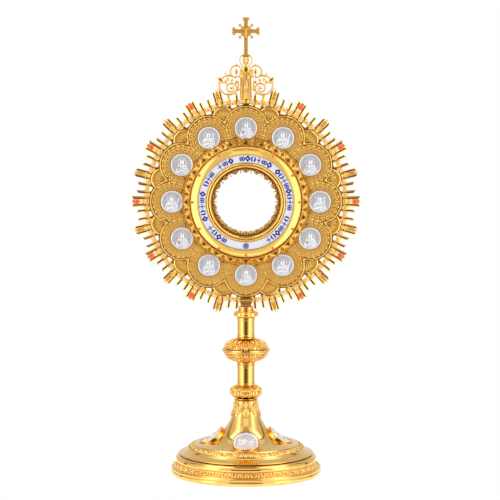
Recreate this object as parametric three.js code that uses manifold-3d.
// A monstrance: a gilt sunburst on a turned stem and foot, with a removable glass luna and a figured crown.
// Millimetres, +Z up, the origin at the bottom centre of the foot, the front facing -Y.
import * as THREE from "three";
import { mergeVertices } from "three/addons/utils/BufferGeometryUtils.js";
import Module from "manifold-3d";

const wasm = await Module();
wasm.setup();

// Driving dimensions
const GAP = 0.3; // clearance between touching pieces
const BURST_HEIGHT = 407; // centre of the sunburst above the table
const BORE = 4.2; // hole through each small stem piece
const ROD_RADIUS = 3;

const FOOT_SEGMENTS = 32;
const STEM_SEGMENTS = 18;
const RING_SEGMENTS = 36;
const DISC_SEGMENTS = 16; // medallions and their settings

const LOBES = 12; // scallops round the sunburst
const LOBE_CENTRE = 109.6;
const LOBE_RADIUS = 34;
const BACK_LOBE_CENTRE = 128.3; // smaller scallops between the main ones
const BACK_LOBE_RADIUS = 17;
const RAY_ROOT = 152;
const RAY_WIDTH = 4.3;
const RAY_OFFSETS = [2, 5.3, 9.7, 13.6]; // degrees from the axis of a lobe
const RAY_TIPS = [169, 162.5, 162.5, 169.8];
const STUMP_TIP = 146; // the plate's edge at top and bottom, where the crown and stem join it
const PLATE_BORE = 53.5;

const LOBE_MEDALLION_RADIUS = 16.5;
const LOBE_MEDALLION_CENTRE = 109.4;
const FOOT_MEDALLION_RADIUS = 19.5;
const FOOT_DISC_PLACE = [49.5, 59.3]; // radius and height of a foot medallion's centre
const FOOT_DISC_TILT = 28; // degrees between its face and the table

// Depths in the sunburst, measured forward from the middle of the ray plate
const PLATE_HALF = 0.7;
const LOBE_PLATE = [1, 2.4];
const MEDALLION_LAYER = [2.7, 5.2];
const RING_FRONT = 14;
const RING_FLOOR = [8, 9.5];
const SLEEVE_REAR = -4.8;
const LUNA_FLANGE = [-7.1, -5.1];
const DOOR_LAYER = [-9.4, -7.4];

const SLEEVE_RADIUS = [51.2, 53.2];
const SLEEVE_FLANGE_RADIUS = 72;
const LUNA_RADIUS = [48.4, 50.8];
const LUNA_FLANGE_RADIUS = 58;
const GLASS_RADIUS = 48.1;
const DOOR_RADIUS = 49.5;
const REAR_GLASS_RADIUS = 47;
const DOOR_OPENING = 45.8;
const RETAINER_OPENING = 46.4;
const HINGE = { x: 51.8, depth: -9.2, knuckle: 1.8, hole: 1.2, pin: 0.9 };
const BUTTON_CENTRE = 65;
const LATCH_CENTRE = 54;

const CROWN_DATUM = -3.6; // zero of the crown's own heights, measured from the sunburst's centre

const CREST_LOBES = 18;
const CREST_RADIUS = 50.5;

const FINISHES = {
  polished: { color: 0xe8ab3a, roughness: 0.18, metalness: 1 },
  antique: { color: 0xb27a22, roughness: 0.4, metalness: 1 },
  silver: { color: 0xdcdde2, roughness: 0.35, metalness: 1 },
  enamel: { color: 0xdfe6f2, roughness: 0.2, metalness: 0 },
  glass: { color: 0xeaf4f6, roughness: 0.05, metalness: 0, transparent: true, opacity: 0.35 },
  steel: { color: 0x8d9096, roughness: 0.4, metalness: 1 },
};

const radians = THREE.MathUtils.degToRad;

// A closed mesh with shared vertices, no slivers of zero area and its faces pointing out.
function closed(geometry) {
  const bare = new THREE.BufferGeometry();
  bare.setAttribute("position", geometry.getAttribute("position"));
  if (geometry.index) bare.setIndex(geometry.index);
  const merged = mergeVertices(bare, 1e-3);
  const place = merged.getAttribute("position");
  const corners = [0, 1, 2].map(() => new THREE.Vector3());
  const kept = [];
  let volume = 0;
  for (let i = 0; i < merged.index.count; i += 3) {
    const [a, b, c] = [0, 1, 2].map((k) => merged.index.getX(i + k));
    if (a === b || b === c || c === a) continue;
    kept.push(a, b, c);
    [a, b, c].forEach((v, k) => corners[k].fromBufferAttribute(place, v));
    volume += corners[0].dot(corners[1].cross(corners[2]));
  }
  merged.setIndex(volume < 0 ? kept.reverse() : kept);
  return merged;
}

function solid(geometry) {
  const shell = closed(geometry);
  const vertProperties = shell.getAttribute("position").array;
  const triVerts = new Uint32Array(shell.index.array);
  return new wasm.Manifold(new wasm.Mesh({ numProp: 3, vertProperties, triVerts }));
}

function geometryOf(manifold) {
  const mesh = manifold.getMesh();
  const geometry = new THREE.BufferGeometry();
  geometry.setAttribute("position", new THREE.BufferAttribute(mesh.vertProperties, 3));
  geometry.setIndex(new THREE.BufferAttribute(mesh.triVerts, 1));
  return geometry;
}

function joined(geometries) {
  const whole = geometries.map(solid).reduce((sum, next) => sum.add(next));
  return geometryOf(whole);
}

function cut(geometry, tools) {
  const rest = tools.map(solid).reduce((left, tool) => left.subtract(tool), solid(geometry));
  return geometryOf(rest);
}

// A turned piece: [radius, height] pairs, closed on themselves, spun round Z.
function turned(profile, segments) {
  const loop = [...profile, profile[0]].map(([r, h]) => new THREE.Vector2(r, h));
  return closed(new THREE.LatheGeometry(loop, segments).rotateX(Math.PI / 2));
}

// An outer profile with a straight bore through it.
function bored(profile, bore, segments = STEM_SEGMENTS) {
  const bottom = [bore, profile[0][1]];
  const top = [bore, profile[profile.length - 1][1]];
  return turned([bottom, ...profile, top], segments);
}

function ring(inner, outer, low, high, segments = RING_SEGMENTS) {
  return turned([[inner, low], [outer, low], [outer, high], [inner, high]], segments);
}

function disc(radius, low, high, segments = RING_SEGMENTS) {
  return turned([[0, low], [radius, low], [radius, high], [0, high]], segments);
}

function block(x, y, z) {
  const size = [x, y, z].map(([low, high]) => high - low);
  const middle = [x, y, z].map(([low, high]) => (low + high) / 2);
  return new THREE.BoxGeometry(...size).translate(...middle);
}

function polar(radius, degrees) {
  const angle = radians(degrees);
  return new THREE.Vector2(radius * Math.sin(angle), radius * Math.cos(angle));
}

// A flat piece in the plane of the sunburst, from one depth to another; its hole, like a ring's
// outline, is given clockwise and turned round here.
function plate(outline, low, high, hole = null) {
  const shape = new THREE.Shape(outline);
  if (hole) shape.holes.push(new THREE.Path([...hole].reverse()));
  const options = { depth: high - low, bevelEnabled: false };
  return new THREE.ExtrudeGeometry(shape, options).translate(0, 0, low);
}

function circle(radius, count = RING_SEGMENTS) {
  return Array.from({ length: count }, (_, i) => polar(radius, (360 * i) / count));
}

// A bent strip: part of a ring round (x, y), its angles counted from +X.
function arcStrip(x, y, radius, width, from, to, low, high, steps = 9) {
  const edge = (r, a, b) =>
    Array.from({ length: steps + 1 }, (_, i) => {
      const angle = radians(a + ((b - a) * i) / steps);
      return new THREE.Vector2(x + r * Math.cos(angle), y + r * Math.sin(angle));
    });
  const outline = [
    ...edge(radius + width / 2, from, to),
    ...edge(radius - width / 2, to, from),
  ];
  return plate(outline, low, high);
}

function bar(x0, y0, x1, y1, width, low, high) {
  const along = new THREE.Vector2(x1 - x0, y1 - y0).normalize().multiplyScalar(width / 2);
  const [ax, ay] = [-along.y, along.x];
  const corners = [[x0 + ax, y0 + ay], [x0 - ax, y0 - ay], [x1 - ax, y1 - ay], [x1 + ax, y1 + ay]];
  return plate(corners.map(([x, y]) => new THREE.Vector2(x, y)), low, high);
}

function piece(name, geometry, finish) {
  const mesh = new THREE.Mesh(closed(geometry), new THREE.MeshStandardMaterial(FINISHES[finish]));
  mesh.name = name;
  return mesh;
}

// Foot

// The outside of the dome, from its neck down to its shoulder: a concave trumpet.
const DOME_OUTSIDE = [
  [19.2, 87], [21, 82], [24, 77], [29, 69.5], [36, 62], [46, 55],
  [58, 49], [70, 45.6], [80, 43], [88, 38], [90, 35.5], [90, 33.3],
];
const DOME_INSIDE = [
  [88.6, 33.2], [86.8, 36.8], [78.5, 41.2], [57, 47.2], [45, 53], [35, 60.2], [28, 67.8], [22.6, 76.3],
  [19.4, 84],
];

function footDiscGroup(turn) {
  const place = new THREE.Group();
  const [radius, height] = FOOT_DISC_PLACE;
  place.position.set(radius * Math.sin(radians(turn)), -radius * Math.cos(radians(turn)), height);
  place.rotation.set(radians(FOOT_DISC_TILT), 0, radians(turn), "ZXY");
  place.updateMatrixWorld(true);
  return place;
}

const FOOT_DISC_TURNS = { front: 0, right: 90, back: 180, left: 270 };

function footDome() {
  const filled = turned([[0, 33.3], [0, 87], ...DOME_OUTSIDE], FOOT_SEGMENTS);
  const hollow = turned([[0, 30], [88.6, 30], ...DOME_INSIDE, [0, 84]], FOOT_SEGMENTS);
  const drums = [];
  const pockets = [];
  for (const turn of Object.values(FOOT_DISC_TURNS)) {
    const { matrixWorld } = footDiscGroup(turn);
    drums.push(disc(FOOT_MEDALLION_RADIUS + 1.5, -12, 0, DISC_SEGMENTS).applyMatrix4(matrixWorld));
    pockets.push(disc(FOOT_MEDALLION_RADIUS + GAP, -2.4, 4, DISC_SEGMENTS).applyMatrix4(matrixWorld));
  }
  const rodHole = disc(BORE, 80, 90, 12);
  return cut(joined([filled, ...drums]), [hollow, ...pockets, rodHole]);
}

function footMedallion(name, turn) {
  const place = footDiscGroup(turn);
  const body = turned([[0, -2.1], [19.5, -2.1], [19.5, -0.6], [17.8, 0.4], [0, 1]], DISC_SEGMENTS);
  place.add(piece(name, body, "silver"));
  return place;
}

function footBaseRing() {
  const outside = [
    [104, 0], [111, 0], [112.6, 4.5], [112, 9], [107, 15], [103, 16.4], [103, 20],
    [105, 25], [104, 29], [101, 31.6], [84, 33],
  ];
  const inside = [
    [84, 31.6], [100.2, 30.2], [103.4, 25], [101.5, 20], [101.5, 15.4], [106, 13.6], [110.4, 8.6],
    [111, 5], [109.6, 1.6], [104, 1.6],
  ];
  return turned([...outside, ...inside], FOOT_SEGMENTS);
}

function foot() {
  const group = new THREE.Group();
  group.add(piece("foot_base_ring", footBaseRing(), "polished"));
  group.add(piece("foot_dome", footDome(), "polished"));
  group.add(piece("foot_cover_plate", disc(108.6, 1.9, 2.9, FOOT_SEGMENTS), "antique"));
  for (const [side, turn] of Object.entries(FOOT_DISC_TURNS))
    group.add(footMedallion("foot_medallion_" + side, turn));
  return group;
}

// Stem: turned pieces threaded on one rod

function knopShell(up) {
  const [middle, edge, cap] = [185, 3.1, 17];
  const height = (h) => middle + (up ? h : -h);
  const wall = (radius, rise) =>
    [0.15, 0.4, 0.65, 0.88].map((t) => {
      const angle = radians(90 * t);
      return [radius * Math.cos(angle) ** 0.8, height(edge + (rise - edge) * Math.sin(angle))];
    });
  const outer = wall(32, cap);
  const inner = wall(30, cap - 1.8).reverse();
  return turned([[31.7, height(edge)], ...outer, [10, height(cap)], ...inner, [29.7, height(edge)]],
    STEM_SEGMENTS);
}

const STEM_PIECES = {
  leaf_collar: { bore: 13, profile: [[21.4, 87.3], [20.8, 91], [18, 98], [15.6, 106], [15.3, 111]] },
  neck_ring: { bore: BORE, profile: [[16, 111.3], [17, 112.2], [16, 113.2]] },
  small_node: { bore: BORE, profile: [[14, 113.5], [20, 117], [23.5, 122.7], [20, 128.6], [13, 132]] },
  lower_column: {
    bore: 9,
    profile: [[12.2, 132.3], [13, 134.6], [12.1, 136.4], [12.1, 160.6], [13.3, 162], [12.2, 163.3]],
  },
  lower_collar: { bore: BORE, profile: [[12.6, 163.6], [13.8, 165.4], [12.8, 167.6]] },
  knop_band: { bore: 28, profile: [[34, 182.2], [36, 183.4], [36, 186.6], [34, 187.8]] },
  upper_collar: { bore: BORE, profile: [[13, 202.3], [14, 203.2], [13, 204.4]] },
  upper_column: {
    bore: 9,
    profile: [[12.4, 204.7], [13.3, 206], [11.9, 207.5], [11.9, 229.6], [12.8, 231.6], [12, 234]],
  },
  capital: { bore: BORE, profile: [[13, 234.3], [17, 235.6], [18.2, 238.5], [17, 242], [12, 244.5]] },
};

// The head of the stem grips the sunburst plate between a fan in front and a tang behind.
function stemHead() {
  const [bottom, top] = [244.8, 250.4];
  const fanTop = BURST_HEIGHT - LOBE_CENTRE - LOBE_RADIUS - 0.4;
  const drum = disc(11.4, bottom, top, STEM_SEGMENTS);
  const outline = [[-7, top - 0.4], [7, top - 0.4], [9.8, fanTop], [-9.8, fanTop]];
  const corners = outline.map(([x, z]) => new THREE.Vector2(x, z));
  const fan = plate(corners, LOBE_PLATE[0], 4.6).rotateX(Math.PI / 2);
  const tang = block([-8, 8], [1, 3.4], [top - 0.4, 300]);
  const rodHole = disc(ROD_RADIUS + GAP, bottom - 1, 248.6, 12);
  return cut(joined([drum, fan, tang]), [rodHole]);
}

function stem() {
  const group = new THREE.Group();
  for (const [name, { bore, profile }] of Object.entries(STEM_PIECES))
    group.add(piece(name, bored(profile, bore), "polished"));
  group.add(piece("knop_lower_shell", knopShell(false), "polished"));
  group.add(piece("knop_upper_shell", knopShell(true), "polished"));
  group.add(piece("stem_head", stemHead(), "polished"));
  group.add(piece("tie_rod", disc(ROD_RADIUS, 75, 248.3, 12), "steel"));
  group.add(piece("tie_rod_washer", ring(ROD_RADIUS + GAP, 12, 82, 83.7, 16), "steel"));
  group.add(piece("tie_rod_nut", ring(3.9, 6.5, 77, 81.7, 6), "steel"));
  return group;
}

// Sunburst, in a frame of its own: X right, Y up, Z towards the front, its centre at the origin

function rayPlate() {
  const outline = [];
  for (let lobe = 0; lobe < LOBES; lobe += 1) {
    const axis = (360 / LOBES) * lobe;
    const stump = lobe === 0 || lobe === LOBES / 2;
    const offsets = RAY_OFFSETS.map((o) => -o).reverse().concat(RAY_OFFSETS);
    for (const offset of offsets) {
      const index = RAY_OFFSETS.indexOf(Math.abs(offset));
      const side = Math.sign(offset);
      const cropped = stump && index === 0;
      const root = cropped ? STUMP_TIP - 1 : RAY_ROOT;
      const tip = cropped ? STUMP_TIP : RAY_TIPS[index];
      const half = (r) => THREE.MathUtils.radToDeg(RAY_WIDTH / 2 / r);
      const heights = side < 0 ? [tip, tip - 5] : [tip - 5, tip];
      const [first, second] = cropped ? [tip, tip] : heights;
      outline.push(polar(root, axis + offset - half(root)));
      outline.push(polar(first, axis + offset - half(first)));
      outline.push(polar(second, axis + offset + half(second)));
      outline.push(polar(root, axis + offset + half(root)));
    }
  }
  return plate(outline, -PLATE_HALF, PLATE_HALF, circle(PLATE_BORE));
}

// How far a scallop of this centre and radius reaches at an angle from its own axis.
function reach(centre, radius, degrees) {
  const across = centre * Math.sin(radians(degrees));
  if (Math.abs(across) > radius) return 0;
  return centre * Math.cos(radians(degrees)) + Math.sqrt(radius ** 2 - across ** 2);
}

function lobePlate() {
  const pitch = 360 / LOBES;
  const step = 2.5;
  const outline = [];
  for (let angle = 0; angle < 360; angle += step) {
    const offset = Math.abs(((angle + pitch / 2) % pitch) - pitch / 2);
    const front = reach(LOBE_CENTRE, LOBE_RADIUS, offset);
    const back = reach(BACK_LOBE_CENTRE, BACK_LOBE_RADIUS, pitch / 2 - offset);
    outline.push(polar(Math.max(front, back), angle));
  }
  return plate(outline, ...LOBE_PLATE, circle(PLATE_BORE));
}

function galleryCollar() {
  const [foot, lip] = [2.7, 11];
  return turned([[88, foot], [92.4, foot], [92.4, 5.6], [94.2, 6.2], [93.6, 7.4], [84.8, lip],
    [83.3, lip]], RING_SEGMENTS);
}

function outerRing() {
  const [low, high] = RING_FLOOR;
  return turned([[51.5, low], [71, low], [71, LOBE_PLATE[1] + GAP], [72.6, LOBE_PLATE[1] + GAP],
    [72.6, 12], [81.4, 12], [81.4, LOBE_PLATE[1] + GAP], [83, LOBE_PLATE[1] + GAP], [83, 12],
    [81, RING_FRONT], [73, RING_FRONT], [71, 12.5], [71, high], [51.5, high]], RING_SEGMENTS);
}

function crestRing() {
  const pitch = 360 / CREST_LOBES;
  const lobe = [[-5, 49], [-3, 43.6], [0, 42.7], [3, 43.6], [5, 49]];
  const pin = [[9.2, 49], [9.2, 41.6], [10.8, 41.6], [10.8, 49]];
  const inner = [];
  for (let i = 0; i < CREST_LOBES; i += 1)
    for (const [turn, radius] of [...lobe, ...pin]) inner.push(polar(radius, pitch * i + turn));
  return plate(circle(CREST_RADIUS), 6.4, 7.4, inner);
}

function sunburst() {
  const group = new THREE.Group();
  const sleeve = turned([
    [SLEEVE_RADIUS[0], SLEEVE_REAR], [SLEEVE_FLANGE_RADIUS, SLEEVE_REAR],
    [SLEEVE_FLANGE_RADIUS, -1.3], [SLEEVE_RADIUS[1], -1.3],
    [SLEEVE_RADIUS[1], RING_FLOOR[0] - GAP], [SLEEVE_RADIUS[0], RING_FLOOR[0] - GAP],
  ], RING_SEGMENTS);
  const enamel = turned([[59.3, 9.8], [70.7, 9.8], [70.7, 12.1], [65, 12.5], [59.3, 12.1]],
    RING_SEGMENTS);
  const inner = turned([[51.5, 9.8], [59, 9.8], [59, 12.8], [57, RING_FRONT], [53, RING_FRONT],
    [51.5, 12.8]], RING_SEGMENTS);
  group.add(piece("ray_plate", rayPlate(), "polished"));
  group.add(piece("lobe_plate", lobePlate(), "antique"));
  group.add(piece("gallery_collar", galleryCollar(), "antique"));
  group.add(piece("outer_ring", outerRing(), "polished"));
  group.add(piece("enamel_ring", enamel, "enamel"));
  group.add(piece("inner_ring", inner, "polished"));
  group.add(piece("luna_sleeve", sleeve, "polished"));
  const [low, high] = MEDALLION_LAYER;
  for (let i = 0; i < LOBES; i += 1) {
    const shape = disc(LOBE_MEDALLION_RADIUS, low, high, DISC_SEGMENTS);
    const medallion = piece("lobe_medallion_" + String(i + 1).padStart(2, "0"), shape, "silver");
    const centre = polar(LOBE_MEDALLION_CENTRE, (360 / LOBES) * i);
    medallion.position.set(centre.x, centre.y, 0);
    group.add(medallion);
  }
  for (const [name, side] of [["turn_button_upper", 1], ["turn_button_lower", -1]]) {
    const button = turnButton(name, [SLEEVE_REAR - GAP, LUNA_FLANGE[0] - GAP, DOOR_LAYER[0]], 3, 9.5);
    button.position.set(0, side * BUTTON_CENTRE, 0);
    button.rotation.z = side > 0 ? 0 : Math.PI;
    group.add(button);
  }
  return group;
}

// A small lever on a boss that stands on [seat]; the lever lies between [under] and [back].
function turnButton(name, [seat, under, back], half, length) {
  const boss = disc(half + 0.4, back, seat, 16);
  const lever = block([0, length], [-half + 0.6, half - 0.6], [back, under]);
  return piece(name, joined([boss, lever]), "polished");
}

// Luna: a glazed case that slides out of the sleeve to the rear, with a hinged glazed door

function hingeBarrel(low, high) {
  const { x, depth, knuckle } = HINGE;
  return disc(knuckle, low, high, 12).rotateX(-Math.PI / 2).translate(x, 0, depth);
}

function hingeHole() {
  const { x, depth, hole } = HINGE;
  return disc(hole, -20, 20, 12).rotateX(-Math.PI / 2).translate(x, 0, depth);
}

const KNUCKLE = 4; // half the length of the door's own knuckle

function lunaCase() {
  const [inner, outer] = LUNA_RADIUS;
  const [back, front] = LUNA_FLANGE;
  const body = turned([[inner, back], [LUNA_FLANGE_RADIUS, back], [LUNA_FLANGE_RADIUS, front],
    [outer, front], [outer, 6.1], [inner, 6.1]], RING_SEGMENTS);
  const ears = [];
  for (const side of [1, -1]) {
    const [near, far] = [KNUCKLE + GAP, KNUCKLE + GAP + 4].map((y) => y * side);
    const [low, high] = [Math.min(near, far), Math.max(near, far)];
    const { x, knuckle, depth } = HINGE;
    ears.push(hingeBarrel(low, high));
    ears.push(block([x - 1.6, x + knuckle], [low, high], [depth, back + 0.3]));
  }
  return cut(joined([body, ...ears]), [hingeHole()]);
}

function lunaDoor() {
  const [back, front] = DOOR_LAYER;
  const lip = back + 0.8;
  const frame = turned([[DOOR_OPENING, back], [DOOR_RADIUS, back], [DOOR_RADIUS, front],
    [REAR_GLASS_RADIUS + GAP, front], [REAR_GLASS_RADIUS + GAP, lip], [DOOR_OPENING, lip]], RING_SEGMENTS);
  const barrel = hingeBarrel(-KNUCKLE, KNUCKLE);
  const leaf = block([48, HINGE.x], [-KNUCKLE, KNUCKLE], [back, front]);
  return cut(joined([frame, barrel, leaf]), [hingeHole()]);
}

function luna() {
  const group = new THREE.Group();
  const pin = disc(HINGE.pin, -9.5, 9.5, 12).rotateX(-Math.PI / 2).translate(HINGE.x, 0, HINGE.depth);
  group.add(piece("luna_case", lunaCase(), "polished"));
  group.add(piece("crest_ring", crestRing(), "antique"));
  group.add(piece("front_glass", disc(GLASS_RADIUS, 3.8, 5.8), "glass"));
  group.add(piece("front_glass_retainer", ring(RETAINER_OPENING, GLASS_RADIUS, 2.3, 3.5), "polished"));
  group.add(piece("luna_door", lunaDoor(), "polished"));
  group.add(piece("rear_glass", disc(REAR_GLASS_RADIUS, -8.3, -6.8), "glass"));
  group.add(piece("door_hinge_pin", pin, "steel"));
  const latch = turnButton("door_latch", [LUNA_FLANGE[0] - GAP, DOOR_LAYER[0] - GAP, -11.4], 2.2, 7.6);
  latch.position.set(-LATCH_CENTRE, 0, 0);
  latch.rotation.z = Math.PI / 2;
  group.add(latch);
  return group;
}

// Crown: a pedestal on the top of the plate with a robed statuette, a cross on a rod and two scrolls

function crownPedestal() {
  const [foot, top] = [149.8, 154.4];
  const drum = turned([[0, foot], [6.6, foot], [6.4, 151.4], [7.8, 152.6], [7.8, top], [0, top]], 16);
  drum.rotateX(-Math.PI / 2);
  const tang = block([-5, 5], [118, 151], [-3.4, -1]);
  const lug = block([-5, 5], [foot, 151], [-3.4, 4]);
  return joined([drum, tang, lug]);
}

function statuette() {
  const robe = turned([
    [0, 154.7], [9, 154.7], [9.5, 157.5], [7.6, 166], [6.8, 180], [7, 190], [7.6, 199], [6.6, 203.4],
    [2.4, 205.6], [2.2, 208.2], [3.6, 209.6], [4.4, 213.4], [3.7, 217.2], [0, 218.6],
  ], 14);
  robe.rotateX(-Math.PI / 2).scale(1, 1, 0.62).translate(0, 0, 1.4);
  const arms = block([-8, 8], [193, 197.5], [1, 7.2]);
  const hand = block([4.5, 8], [196, 204], [3, 6.4]);
  return joined([robe, arms, hand]);
}

function halo() {
  const [back, front] = [2.4, 3.2];
  const hoop = arcStrip(0, 213, 9.05, 0.9, -50, 230, back, front, 24);
  return joined([hoop, block([-0.7, 0.7], [219, 222.2], [back, front])]);
}

function cross() {
  const centre = 257.6;
  const face = [-2, 2];
  const half = 2.85;
  const parts = [
    block([-half, half], [224, 275.5], face),
    block([-18, 18], [centre - half, centre + half], face),
    disc(8, -1.4, 1.4, 24).translate(0, centre, 0),
    plate([[-2.8, 271], [2.8, 271], [5.4, 276], [5.4, 278], [-5.4, 278], [-5.4, 276]]
      .map(([x, y]) => new THREE.Vector2(x, y)), ...face),
    plate([[-5.3, 219.4], [5.3, 219.4], [5.3, 221.5], [half, 225.5], [-half, 225.5], [-5.3, 221.5]]
      .map(([x, y]) => new THREE.Vector2(x, y)), -7.4, face[1]),
    block([-1.3, 1.3], [154.7, 222], [-7.4, -5]),
  ];
  for (const side of [1, -1]) {
    const [low, high] = side > 0 ? [15.9, 20.3] : [-20.3, -15.9];
    parts.push(block([low, high], [centre - 5.6, centre + 5.6], face));
    for (const rise of [1, -1]) {
      const knob = block([-1.9, 1.9], [-1.9, 1.9], [-1.6, 1.6]);
      parts.push(bar(0, centre, side * 8.7, centre + rise * 8.7, 3, -1.2, 1.2));
      parts.push(knob.translate(side * 8.7, centre + rise * 8.7, 0));
    }
  }
  return joined(parts);
}

// One wire scroll for the left side: a big C, a spiral inside it, an arc above and a stem below.
function scroll() {
  const layer = [1, 3];
  const wire = 1.8;
  return joined([
    arcStrip(-25.2, 176.1, 14, wire, 0, 180, ...layer),
    arcStrip(-25.2, 176.1, 14, wire, 180, 360, ...layer),
    arcStrip(-21.8, 171.2, 7, wire, -160, 150, ...layer),
    arcStrip(-14.3, 196, 8.7, wire, 50, 275, ...layer),
    bar(-25.2, 163, -25.2, 149.2, 2.2, ...layer),
    bar(-37, 181, -40, 187, 3, ...layer),
    bar(-29, 189, -30.2, 195.5, 2.4, ...layer),
    bar(-14, 204, -13.7, 208, 2.4, ...layer),
    bar(-14.3, 188, -14.3, 198, 4.4, ...layer),
  ]);
}

function crown() {
  const group = new THREE.Group();
  group.position.y = CROWN_DATUM;
  const left = scroll();
  const right = left.clone().scale(-1, 1, 1);
  group.add(piece("crown_pedestal", crownPedestal(), "polished"));
  group.add(piece("statuette", statuette(), "polished"));
  group.add(piece("halo", halo(), "polished"));
  group.add(piece("cross", cross(), "polished"));
  group.add(piece("scroll_left", left, "polished"));
  group.add(piece("scroll_right", right, "polished"));
  return group;
}

const monstrance = new THREE.Group();
const upright = new THREE.Group();
upright.position.set(0, 0, BURST_HEIGHT);
upright.rotation.x = Math.PI / 2;
upright.add(sunburst(), luna(), crown());
monstrance.add(foot(), stem(), upright);

export default monstrance;
